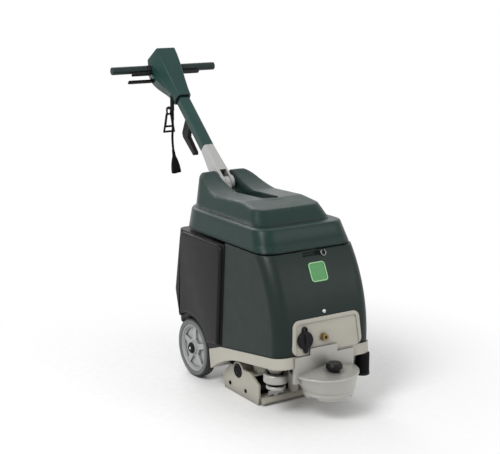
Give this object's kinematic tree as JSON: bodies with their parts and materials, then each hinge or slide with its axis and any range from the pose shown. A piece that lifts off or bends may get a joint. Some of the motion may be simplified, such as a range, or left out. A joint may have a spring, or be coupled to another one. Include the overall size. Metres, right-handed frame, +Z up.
{
  "type": "carpet extractor",
  "caption": "Walk-behind carpet extractor: lidded tank over a twin-brush head and suction drum, rear wheels, and a folding handle with grips, triggers and switches.",
  "frame": {"origin": "floor level, under the middle of the machine's own box, the hanging cord left out", "axes": "+Z up, -Y towards the machine's front, +X to the machine's right-hand side as seen from in front"},
  "size_m": [0.426, 1.1972, 1.0872],
  "materials": {
    "lid_green": "satin moulded plastic",
    "handle_green": "satin moulded plastic",
    "tank_green": "satin moulded plastic",
    "charcoal": "fine grained plastic",
    "warm_grey": "fine grained plastic",
    "cool_grey": "satin plastic",
    "wheel_grey": "satin plastic",
    "tyre_grey": "matt rubber",
    "silver": "satin cast and painted",
    "black_plastic": "satin",
    "black_rubber": "matt",
    "steel": "bright zinc",
    "motor_paint": "satin black",
    "brass": "satin brass",
    "badge_green": "gloss",
    "bristle": "nylon strands",
    "ball": "gloss"
  },
  "bodies": {
    "chassis": {"base_frame": "warm_grey", "tank_body": "tank_green", "rear_housing": "charcoal", "front_panel": "warm_grey", "coupler": "brass", "badge_plate": "badge_green", "vac_drum": "cool_grey", "vac_motor": "motor_paint", "drain_hose": "black_rubber", "head_left_plate": "warm_grey", "head_right_plate": "warm_grey", "head_deck": "warm_grey", "brush_motor": "motor_paint", "drive_belt": "black_rubber", "belt_cover": "warm_grey", "vac_shoe": "warm_grey", "shoe_clips": "steel", "axle": "steel", "solution_pump": "black_plastic", "handle_post": "silver", "pivot_pin": "steel"},
    "lid": {"tank_lid": "lid_green", "lid_gasket": "black_rubber"},
    "float": {"float_ball": "ball"},
    "ring": {"lid_ring": "steel"},
    "cap": {"port_cap": "black_plastic"},
    "knob": {"drum_knob": "black_plastic"},
    "hose_plug": {"drain_plug": "black_plastic"},
    "left_bumper_wheel": {"left_bumper": "cool_grey"},
    "right_bumper_wheel": {"right_bumper": "cool_grey"},
    "rear_brush": {"rear_roller": "steel", "rear_bristles": "bristle"},
    "front_brush": {"front_roller": "steel", "front_bristles": "bristle"},
    "motor_shaft": {"motor_pulley": "steel"},
    "fan": {"vac_fan": "steel"},
    "left_wheel": {"left_tyre": "tyre_grey", "left_hub": "wheel_grey", "left_hub_cap": "black_plastic"},
    "right_wheel": {"right_tyre": "tyre_grey", "right_hub": "wheel_grey", "right_hub_cap": "black_plastic"},
    "handle": {"handle_arm": "silver", "column": "handle_green", "head_front_shell": "handle_green", "head_rear_shell": "handle_green", "handlebar": "motor_paint", "left_grip": "black_rubber", "right_grip": "black_rubber", "cord_hook": "black_plastic", "cord_gland": "black_plastic", "power_cord": "black_rubber", "cord_plug": "black_rubber", "cord_buckle": "black_plastic"},
    "left_switch": {"left_rocker": "black_plastic"},
    "right_switch": {"right_rocker": "black_plastic"},
    "left_squeeze": {"left_trigger": "black_plastic"},
    "right_squeeze": {"right_trigger": "black_plastic"},
    "fold_release": {"release_lever": "black_plastic"}
  },
  "joints": [
    {"name": "lid_lift", "type": "slide", "parent": "chassis", "child": "lid", "axis": [0, 0, 1], "range_m": [0, 0.2]},
    {"name": "float_rise", "type": "slide", "parent": "lid", "child": "float", "axis": [0, 0, 1], "range_m": [0, 0.04]},
    {"name": "ring_swing", "type": "hinge", "parent": "chassis", "child": "ring", "pos_m": [0.038, -0.40764, 0.515], "axis": [1, 0, 0], "range_deg": [-100, 0]},
    {"name": "cap_pull", "type": "slide", "parent": "chassis", "child": "cap", "axis": [0, -0.9941, 0.1084], "range_m": [0, 0.04]},
    {"name": "knob_lift", "type": "slide", "parent": "chassis", "child": "knob", "axis": [0, 0, 1], "range_m": [0, 0.03]},
    {"name": "hose_plug_pull", "type": "slide", "parent": "chassis", "child": "hose_plug", "axis": [0, 0, -1], "range_m": [0, 0.05]},
    {"name": "left_bumper_spin", "type": "hinge", "parent": "chassis", "child": "left_bumper_wheel", "pos_m": [-0.137, -0.40764, 0.125], "axis": [0, 0, 1], "continuous": true},
    {"name": "right_bumper_spin", "type": "hinge", "parent": "chassis", "child": "right_bumper_wheel", "pos_m": [0.137, -0.40764, 0.125], "axis": [0, 0, 1], "continuous": true},
    {"name": "rear_brush_spin", "type": "hinge", "parent": "chassis", "child": "rear_brush", "pos_m": [0, -0.13964, 0.0265], "axis": [1, 0, 0], "continuous": true},
    {"name": "front_brush_spin", "type": "hinge", "parent": "chassis", "child": "front_brush", "pos_m": [0, -0.23564, 0.0265], "axis": [1, 0, 0], "continuous": true},
    {"name": "motor_spin", "type": "hinge", "parent": "chassis", "child": "motor_shaft", "pos_m": [0, -0.18764, 0.082], "axis": [1, 0, 0], "continuous": true},
    {"name": "fan_spin", "type": "hinge", "parent": "chassis", "child": "fan", "pos_m": [0, -0.49664, 0.1], "axis": [0, 0, 1], "continuous": true},
    {"name": "left_wheel_spin", "type": "hinge", "parent": "chassis", "child": "left_wheel", "pos_m": [0, 0.04836, 0.1016], "axis": [1, 0, 0], "continuous": true},
    {"name": "right_wheel_spin", "type": "hinge", "parent": "chassis", "child": "right_wheel", "pos_m": [0, 0.04836, 0.1016], "axis": [1, 0, 0], "continuous": true},
    {"name": "handle_fold", "type": "hinge", "parent": "chassis", "child": "handle", "pos_m": [0, 0.11936, 0.65], "axis": [-1, 0, 0], "range_deg": [-125, 10]},
    {"name": "left_rocker_tilt", "type": "hinge", "parent": "handle", "child": "left_switch", "pos_m": [-0.017, 0.55908, 1.05773], "axis": [1, 0, 0], "range_deg": [-8, 8]},
    {"name": "right_rocker_tilt", "type": "hinge", "parent": "handle", "child": "right_switch", "pos_m": [0.017, 0.55908, 1.05773], "axis": [1, 0, 0], "range_deg": [-8, 8]},
    {"name": "left_trigger_squeeze", "type": "hinge", "parent": "handle", "child": "left_squeeze", "pos_m": [-0.0675, 0.53581, 0.99575], "axis": [0, 0.6626, -0.749], "range_deg": [0, 3], "stiffness_Nm_per_rad": 0.6, "springref_deg": -8.59},
    {"name": "right_trigger_squeeze", "type": "hinge", "parent": "handle", "child": "right_squeeze", "pos_m": [0.0675, 0.53581, 0.99575], "axis": [0, -0.6626, 0.749], "range_deg": [0, 3], "stiffness_Nm_per_rad": 0.6, "springref_deg": -8.59},
    {"name": "release_lever_lift", "type": "hinge", "parent": "handle", "child": "fold_release", "pos_m": [-0.036, 0.54222, 0.96737], "axis": [0, 0.6626, -0.749], "range_deg": [0, 8], "stiffness_Nm_per_rad": 0.8, "springref_deg": -8.59}
  ],
  "couplings": [
    {"joint": "front_brush_spin", "follows": "rear_brush_spin", "ratio": 1},
    {"joint": "motor_spin", "follows": "rear_brush_spin", "ratio": 1.6}
  ]
}
